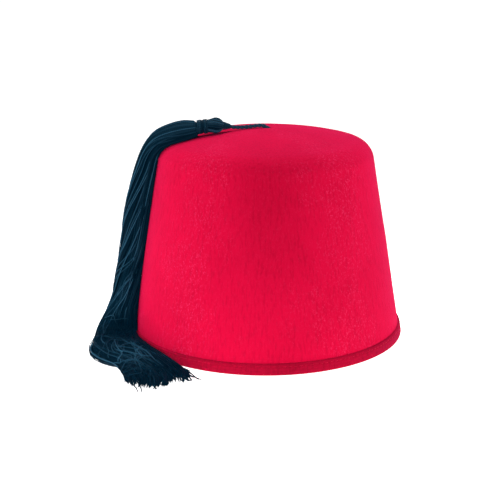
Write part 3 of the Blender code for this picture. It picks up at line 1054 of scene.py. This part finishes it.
def make_neck():
    """The winding: one thread in close turns of different tones, in two soft lobes."""
    chance = random.Random(5)
    radius = WINDING_THREAD_RADIUS
    start = (NECK_END - KNOB_AT).length - WINDING_LENGTH + radius
    run = WINDING_LENGTH - 2 * radius
    turns = round(run / (2 * radius * 0.92))
    count = turns * TURN_POINTS
    points = []
    for i in range(count + 1):
        share = i / count
        lobe = (share * WINDING_LOBES) % 1 - 0.5
        reach = WINDING_RADIUS - radius - LOBE_DEPTH * (2 * lobe) ** 4
        points.append(head_point(start + run * share, reach, math.tau * share * turns))
    tones = np.repeat([chance.choice(WINDING_TONES) for _ in range(turns)], TURN_POINTS)
    tones = np.append(tones, tones[-1])
    winding = tube_mesh("neck_threads", [thread(points, radius, tones)], finish("cord_thread"), around=6)
    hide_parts("neck_winding")
    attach(winding, "root")


# The tassel's skirt


def section_at(along):
    """The section at a share of the skirt's length, on smooth curves through the table's columns."""
    last = len(SKIRT_SECTIONS) - 1
    i = min(int(along * last), last - 1)
    t = along * last - i
    a, b, c, d = (SKIRT_SECTIONS[min(max(k, 0), last)] for k in (i - 1, i, i + 1, i + 2))
    return Section(*(between(*values, t) for values in zip(a, b, c, d)))


def bundle_rows():
    """Middle, direction across, direction out, half sizes and turn of the bundle at each station."""
    rows = []
    for k in range(STATIONS):
        along = k / (STATIONS - 1)
        section = section_at(along)
        before, after = section_at(max(along - 0.01, 0)), section_at(min(along + 0.01, 1))
        ahead = (Vector(after[:3]) - Vector(before[:3])).normalized()
        faces = direction(math.radians(section.heading), math.radians(section.lift))
        across = faces.cross(ahead).normalized()
        out = ahead.cross(across)
        rows.append([*section[:3], *across, *out, section.across, section.out, math.radians(section.turn)])
    return np.array(rows)


BUNDLE = bundle_rows()


def in_bundle(along, sideways, outward, lift):
    """Points at shares of the bundle's half sizes, lifted off its outside, and the directions across them."""
    place = np.clip(along, 0, 1) * (STATIONS - 1)
    columns = [np.interp(place, np.arange(STATIONS), BUNDLE[:, k]) for k in range(12)]
    middle, across, out = (np.stack(columns[k : k + 3], axis=1) for k in (0, 3, 6))
    first_step = (BUNDLE[2, :3] - BUNDLE[0, :3]) * (STATIONS - 1) / 2
    last_step = (BUNDLE[-1, :3] - BUNDLE[-3, :3]) * (STATIONS - 1) / 2
    before, past = np.minimum(along, 0)[:, None], np.maximum(along - 1, 0)[:, None]
    points = middle + before * first_step + past * last_step
    proud = lift - SUNK
    tucked = 0.7 + 0.3 * step_up(along, -NECK_TUCK, 0.001)
    points = points + across * ((columns[HALF_ACROSS] + proud) * tucked * sideways)[:, None]
    return points + out * ((columns[HALF_OUT] + proud) * tucked * outward)[:, None], across


def bundle_turn(along):
    return np.interp(np.clip(along, 0, 1) * (STATIONS - 1), np.arange(STATIONS), BUNDLE[:, TURN])


def wander(chance, along, sizes):
    """A slow random wave along a thread, as the sum of waves with these sizes, the long ones first."""
    total = np.zeros_like(along)
    for number, size in enumerate(sizes):
        waves = 1.1 * 1.9**number
        total += size * chance.uniform(0.4, 1) * np.sin(math.tau * (waves * along + chance.random()))
    return total


def step_up(along, start, end):
    t = np.clip((along - start) / (end - start), 0, 1)
    return t * t * (3 - 2 * t)


def sunflower(number, count):
    """Evenly spread places in a disc of radius 1."""
    angle = number * math.pi * (3 - math.sqrt(5))
    reach = math.sqrt((number + 0.5) / count)
    return reach * math.cos(angle), reach * math.sin(angle)


def into_hollow(points):
    """Presses the front of the skirt in above the fold, and gives how deep each point lies there."""
    apart = (points - HOLLOW_AT) / HOLLOW_REACH
    share = np.exp(-0.5 * (apart**2).sum(axis=1))
    return points + share[:, None] * HOLLOW_PUSH, share


def laid(along, sideways, outward, radius, layer=0.0, lift=0.0):
    """Points and side directions of a skirt thread, off the hat and the floor, and its hollow share."""
    points, sides = in_bundle(along, sideways, outward, lift)
    points, share = into_hollow(points)
    points = clear_of_hat(points, THREAD_GAP + radius + layer)
    points[:, 2] = np.maximum(points[:, 2], radius * 1.02 + 0.4 * layer)
    return points, sides, share


def skirt_tone(chance):
    """Most of the skirt's threads are dark."""
    return chance.choices((0.0, 0.03, 0.12), (74, 20, 6))[0]


def fan_tufts(chance):
    """The tufts along the fan's edge: the place of each across the fan, and how far it reaches."""
    places = [(k + 0.5 + chance.uniform(-0.35, 0.35)) * 2 / TUFTS - 1 for k in range(TUFTS)]
    return [(place, chance.uniform(-0.018, 0.018)) for place in places]


def end_of_fan(chance, lateral, tuft, reach):
    """Where a thread ends, as a share of the skirt: the ends taper to their tuft's point."""
    edge = 0.984 - 0.014 * lateral + 0.020 * (1 - lateral**2)
    off_point = min(abs(lateral - tuft) * TUFTS, 1)
    return edge + reach - 0.032 * off_point - chance.choice((0.004, 0.010, 0.045)) * chance.random()


def hanging(along):
    """The share of its painted highlight that a thread keeps: 1 where the skirt hangs down the wall, less
    over the shoulder, and less past the fold, where it is painted shade.
    """
    past_shoulder = SHOULDER_TONE + (1 - SHOULDER_TONE) * step_up(along, *SHOULDER_ENDS)
    return past_shoulder * (1 - FOLD_DULLING * step_up(along, *FOLD_ENDS))


def shaded(tone, along, share):
    """The tone along a thread, with painted shade: dark in the hollow, and duller on the floor."""
    return tone * (1 - 0.95 * np.minimum(1.4 * share, 1)) * (1 - 0.15 * step_up(along, FOLD, 0.80))


def skirt_thread(chance, x, y, locks, tufts, radius, stray=None):
    """A thread from a place in the bundle's disc, drawn to a lock on the way, and to a tuft at its end."""
    lock_x, lock_y = min(locks, key=lambda c: (c[0] - x) ** 2 + (c[1] - y) ** 2)
    turned = float(bundle_turn(1.0)) + 0.5
    lateral = min(max(x * math.sin(turned) + y * math.cos(turned) + chance.gauss(0, 0.40), -1), 1)
    tuft, reach = min(tufts, key=lambda t: abs(t[0] - lateral))
    end = end_of_fan(chance, lateral, tuft, reach)
    lateral = 0.92 * lateral - 0.08
    lean = 0.30 * (1 - lateral**2) + chance.gauss(0, 0.05) + 0.75 * (tuft - lateral)
    if stray:
        lateral, lean, end = stray.lateral, stray.lean, 1 + stray.reach
    t = np.linspace(0, 1, THREAD_RINGS)
    along = -NECK_TUCK + (end + NECK_TUCK) * t**1.2
    gathered = LOCK_DRAW * step_up(along, 0.12, 0.35) * (1 - step_up(along, 0.60, 0.70))
    settled = step_up(along, 0, 0.25)
    x_now = x + (lock_x - x) * gathered + wander(chance, along, BUNDLE_WAVES) * settled
    y_now = y + (lock_y - y) * gathered + wander(chance, along, BUNDLE_WAVES) * settled
    turn = bundle_turn(along) + 0.5 * step_up(along, *SWEEP)
    sideways = x_now * np.cos(turn) - y_now * np.sin(turn)
    outward = x_now * np.sin(turn) + y_now * np.cos(turn)
    fan = np.clip((along - FOLD) / (1 - FOLD), 0, 1)
    outward = outward + (lateral - outward[-1]) * step_up(fan, 0.05, 0.85)
    outward = outward + wander(chance, fan, FAN_SIDE_WAVES) * step_up(fan, 0, 0.3) * (1 - fan**4)
    sideways = sideways + wander(chance, fan, FAN_DEPTH_WAVES) * step_up(fan, 0, 0.4)
    reach = np.maximum(np.hypot(sideways, outward), 1)
    near_hat = step_up(-outward / reach, 0.45, 0.9) * (1 - step_up(along, 0.55, 0.66))
    sideways, outward = sideways / reach, outward / reach * (1 + HAT_SIDE_BULGE * near_hat)
    tip = np.clip((along - end + 0.08) / 0.08, 0, 1) ** 2
    outward = outward + lean * tip
    sideways = sideways + (chance.uniform(-0.9, 0.3) - sideways) * 0.8 * tip
    layer = chance.choice((0, 0, 1, 2)) * 1.4 * radius
    points, sides, share = laid(along, sideways, outward, radius, layer)
    tone = skirt_tone(chance)
    fullness = chance.uniform(0.9, 1.15)
    # painted highlight: fuller threads are made lighter where the skirt comes over the shoulder
    over_shoulder = 0.8 * (fullness - 0.9) * (1 - step_up(along, 0.08, 0.22))
    thickness = radius * fullness * (1 - 0.25 * tone)
    return thread(points, thickness, shaded(tone, along, share) + over_shoulder, sides, THREAD_TIP)


def wound(along, turn, radius, lift, tone, thickness):
    """A thread on the skirt's outside, at an angle round it for each place along it."""
    points, sides, share = laid(along, np.cos(turn), np.sin(turn), radius, lift=lift)
    return thread(points, thickness, shaded(tone, along, share) * hanging(along), sides, THREAD_TIP)


def light_thread(chance, angle, radius):
    """A lighter thread, a painted highlight, that winds down the outside faster than the others, most of all
    above the fold.
    """
    along = np.linspace(-NECK_TUCK, chance.uniform(0.78, 0.97), THREAD_RINGS)
    lag = chance.uniform(0.3, 2.6)
    turn = bundle_turn(along) + angle + lag * along + wander(chance, along, (0.20, 0.12, 0.05))
    turn = turn + wander(chance, along, (0.9, 0.6, 0.4)) * step_up(along, 0.55, 0.75)
    begins = chance.uniform(0.42, 0.56)
    turn = turn + chance.uniform(0.9, 2.4) * step_up(along, begins, begins + 0.12)
    lift = chance.uniform(0.0001, 0.0004)
    return wound(along, turn, radius, lift, chance.uniform(0.2, 0.9), 0.85 * radius)


def hat_side_thread(chance, radius, angle, tone):
    """A thread that runs almost straight down, close to the hat, and closes the skirt's edge there."""
    along = np.linspace(-NECK_TUCK, chance.uniform(0.86, 0.97), THREAD_RINGS)
    turn = math.radians(angle) + 1.1 * (along - 0.35) + 0.7 * step_up(along, *SWEEP)
    turn = turn + wander(chance, along, (0.15, 0.10))
    lift = chance.uniform(-0.0004, 0.0020) * step_up(-np.sin(turn), 0.2, 0.8)
    return wound(along, turn, radius, lift, tone, radius * (1.05 - 0.25 * tone))


def loose_thread(chance, radius):
    """A thread that lies on the outside and crosses the others."""
    angle = chance.uniform(0, math.tau)
    start = chance.uniform(0, 0.35)
    end = chance.uniform(0.6, 1.0)
    along = np.linspace(start, end, THREAD_RINGS)
    lag = chance.uniform(-0.8, 2.2)
    turn = bundle_turn(along) + angle + lag * (along - start) + wander(chance, along, (0.25, 0.15, 0.06))
    lift = 0.0002 + 0.0005 * np.sin(np.pi * (along - start) / (end - start)) * chance.random()
    tone = chance.uniform(0.3, 0.9)
    return wound(along, turn, radius, lift, tone, radius * chance.uniform(0.7, 0.95))


def within(steps, low, high):
    """The steps, all made shorter by one share where they would pass a limit."""
    return steps * min(1, low / min(steps.min(), low), high / max(steps.max(), high))


def fan_loop(chance, radius):
    """A stray thread that curls over the top of the fan, in any direction."""
    sweep = np.linspace(0, 1, 40)
    reach = chance.uniform(0.012, 0.030)
    way = chance.uniform(-0.5 * math.pi, 0.5 * math.pi)
    bulge = chance.uniform(-0.25, 0.25) * np.sin(math.pi * sweep) + wander(chance, sweep, (0.05, 0.02))
    forward = reach * (math.cos(way) * sweep - math.sin(way) * bulge)
    across = reach * (math.sin(way) * sweep + math.cos(way) * bulge)
    along = chance.uniform(0.68, 0.90)
    outward = chance.uniform(-LOOP_SIDES, LOOP_SIDES)
    along = along + within(forward / SKIRT_LENGTH, LOOP_ENDS[0] - along, LOOP_ENDS[1] - along)
    outward = outward + within(across / FAN_HALF_WIDTH, -LOOP_SIDES - outward, LOOP_SIDES - outward)
    lift = chance.uniform(0.0003, 0.0014) * (0.2 + 0.8 * step_up(along, FOLD, FOLD + 0.06))
    points, sides, share = laid(along, np.sqrt(1 - outward**2), outward, radius, lift=lift)
    tone = shaded(chance.uniform(0.2, 0.9), along, share) * (1 - 0.85 * step_up(along, 0.84, 0.95))
    return thread(points, radius * 0.78, tone, sides, THREAD_TIP)


def skirt_threads():
    """All the skirt's threads, in a mixed order, so that each hank spreads over the whole skirt."""
    settings = bpy.context.scene.fez_tassel
    radius = settings.thread_radius
    chance = random.Random(SKIRT_SEED)
    lights = random.Random(LIGHT_SEED)
    locks = [sunflower(k, LOCKS) for k in range(LOCKS)]
    places = [sunflower(k, settings.threads) for k in range(settings.threads)]
    tufts = fan_tufts(chance)
    threads = [skirt_thread(chance, x, y, locks, tufts, radius) for x, y in places]
    threads += [skirt_thread(chance, *chance.choice(places), locks, tufts, radius, stray) for stray in STRAYS]
    for _ in range(HAT_SIDE_THREADS):
        angle = chance.uniform(*HAT_SIDE_ANGLES)
        threads.append(hat_side_thread(chance, radius, angle, chance.choice(HAT_SIDE_TONES)))
    threads += [hat_side_thread(lights, radius, angle, HAT_SIDE_LIGHT_TONE) for angle in HAT_SIDE_LIGHT]
    turns = [math.tau * (k + lights.uniform(-0.3, 0.3)) / LIGHT_THREADS for k in range(LIGHT_THREADS)]
    threads += [light_thread(lights, angle, radius) for angle in turns]
    threads += [loose_thread(lights, radius) for _ in range(settings.loose_threads)]
    threads += [fan_loop(lights, radius) for _ in range(FAN_LOOPS)]
    chance.shuffle(threads)
    return threads


def make_skirt():
    threads = skirt_threads()
    for hank in range(HANKS):
        piece = tube_mesh(f"skirt_threads_{hank + 1}", threads[hank::HANKS], finish("skirt_thread"))
        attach(piece, "root")
    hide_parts("tassel_skirt")


# The stage


def make_stage():
    settings = bpy.context.scene.fez_stage
    deselect()
    bpy.ops.mesh.primitive_plane_add(size=settings.floor_size, location=(0, 0, -FLOOR_DROP))
    floor, tree, surface = blank_material("pale_floor")
    surface["Base Color"].default_value = rgba(settings.floor)
    surface["Roughness"].default_value = 0.9
    surface["Specular IOR Level"].default_value = 0.1
    tree.links.new(floor_light(tree, settings), surface["Emission Color"])
    surface["Emission Strength"].default_value = 1.0
    settle(bpy.context.object, "floor", floor)
    back = Vector((0, -math.cos(CAMERA_ELEVATION), math.sin(CAMERA_ELEVATION)))
    right = Vector((1, 0, 0))
    up = right.cross(-back)
    turned_right = right * math.cos(CAMERA_ROLL) + up * math.sin(CAMERA_ROLL)
    turned_up = up * math.cos(CAMERA_ROLL) - right * math.sin(CAMERA_ROLL)
    bpy.ops.object.camera_add()
    camera = bpy.context.object
    camera.matrix_world = (
        Matrix.Translation(CAMERA_AIM + back * CAMERA_DISTANCE)
        @ Matrix((turned_right, turned_up, back)).transposed().to_4x4()
    )
    camera.data.lens = CAMERA_LENS
    camera.data.sensor_width = 36
    camera.data.clip_end = 100
    bpy.context.scene.camera = camera
    hat = (0, 0, 0.07)
    softbox("top", (0.0, 0.30, 1.30), hat, 1.2, settings.top_power)
    softbox("key", (-1.35, -0.35, 0.60), hat, 1.3, settings.key_power)
    softbox("fill", (1.30, -0.40, 0.22), hat, 0.8, settings.fill_power)
    softbox("pool", (-0.70, -1.10, 0.50), (-0.04, -0.09, -0.10), 0.20, settings.pool_power, spread=13)
    softbox("low", (-0.75, -1.10, 0.25), (-0.077, -0.052, 0.020), 0.06, settings.low_power, spread=4)
    sky = bpy.data.worlds.new("studio")
    sky.use_nodes = True
    background = sky.node_tree.nodes["Background"].inputs
    background["Color"].default_value = (1, 1, 1, 1)
    background["Strength"].default_value = settings.sky
    bpy.context.scene.world = sky
    bpy.context.scene.view_settings.view_transform = "Standard"


def floor_light(tree, settings):
    """The floor's own light: strong at the rim, weaker around the hat, and white again far off."""
    distance = length_of(tree, tree.nodes.new("ShaderNodeTexCoord").outputs["Object"])
    past_rim = times(tree, ramp(tree, distance, *RIM_GLOW_ENDS), settings.near_glow - settings.under_glow)
    far_off = times(tree, ramp(tree, distance, *FAR_GLOW_BEGINS), settings.far_glow - settings.near_glow)
    return plus(tree, plus(tree, past_rim, far_off), settings.under_glow)


def softbox(name, place, aim, size, power, spread=180):
    """A square light with its beam turned to a point; a small spread, in degrees, narrows the beam."""
    place = Vector(place)
    bpy.ops.object.light_add(type="AREA", location=place)
    light = bpy.context.object
    light.name = name
    light.rotation_euler = (Vector(aim) - place).to_track_quat("-Z", "Y").to_euler()
    light.data.size = size
    light.data.energy = power
    light.data.spread = math.radians(spread)


# Operators and panel


class FEZ_OT_stage(bpy.types.Operator):
    """Lays the floor, aims the camera and sets the lights"""

    bl_idname = "fez.stage"
    bl_label = "Set the stage"

    def execute(self, context):
        make_stage()
        return {"FINISHED"}


class FEZ_OT_head(bpy.types.Operator):
    """Makes the tassel's head and its wound neck"""

    bl_idname = "fez.head"
    bl_label = "Tie the tassel's head"

    def execute(self, context):
        make_head()
        return {"FINISHED"}


class FEZ_OT_cord(bpy.types.Operator):
    """Makes the twisted cord and its knot"""

    bl_idname = "fez.cord"
    bl_label = "Twist the cord"

    def execute(self, context):
        make_cord()
        return {"FINISHED"}


class FEZ_OT_skirt(bpy.types.Operator):
    """Makes the threads of the tassel's skirt"""

    bl_idname = "fez.skirt"
    bl_label = "Hang the skirt"

    def execute(self, context):
        make_skirt()
        return {"FINISHED"}


class FEZ_OT_crown(bpy.types.Operator):
    """Makes the felt crown"""

    bl_idname = "fez.crown"
    bl_label = "Block the crown"

    def execute(self, context):
        make_crown()
        return {"FINISHED"}


class FEZ_OT_binding(bpy.types.Operator):
    """Makes the rim's binding and its stitches"""

    bl_idname = "fez.binding"
    bl_label = "Bind the rim"

    def execute(self, context):
        make_rim_binding()
        make_rim_stitches()
        return {"FINISHED"}


STEPS = (FEZ_OT_stage, FEZ_OT_head, FEZ_OT_cord, FEZ_OT_skirt, FEZ_OT_crown, FEZ_OT_binding)


class FEZ_PT_panel(bpy.types.Panel):
    """Lists the fez's pieces and settings"""

    bl_idname = "FEZ_PT_panel"
    bl_label = "Fez"
    bl_space_type = "VIEW_3D"
    bl_region_type = "UI"
    bl_category = "Fez"

    def draw(self, context):
        for step in STEPS:
            self.layout.operator(step.bl_idname)
        for group in (context.scene.fez_felt, context.scene.fez_tassel, context.scene.fez_stage):
            box = self.layout.box()
            for name in group.__annotations__:
                box.prop(group, name)


CLASSES = (FezFeltSettings, FezTasselSettings, FezStageSettings, *STEPS, FEZ_PT_panel)


def register():
    for each in CLASSES:
        bpy.utils.register_class(each)
    bpy.types.Scene.fez_felt = PointerProperty(type=FezFeltSettings)
    bpy.types.Scene.fez_tassel = PointerProperty(type=FezTasselSettings)
    bpy.types.Scene.fez_stage = PointerProperty(type=FezStageSettings)


def unregister():
    for name in ("fez_felt", "fez_tassel", "fez_stage"):
        delattr(bpy.types.Scene, name)
    for each in reversed(CLASSES):
        bpy.utils.unregister_class(each)


def main():
    register()
    bpy.ops.fez.stage()
    bpy.ops.fez.head()
    bpy.ops.fez.cord()
    bpy.ops.fez.skirt()
    bpy.ops.fez.crown()
    bpy.ops.fez.binding()


if __name__ == "__main__":
    main()
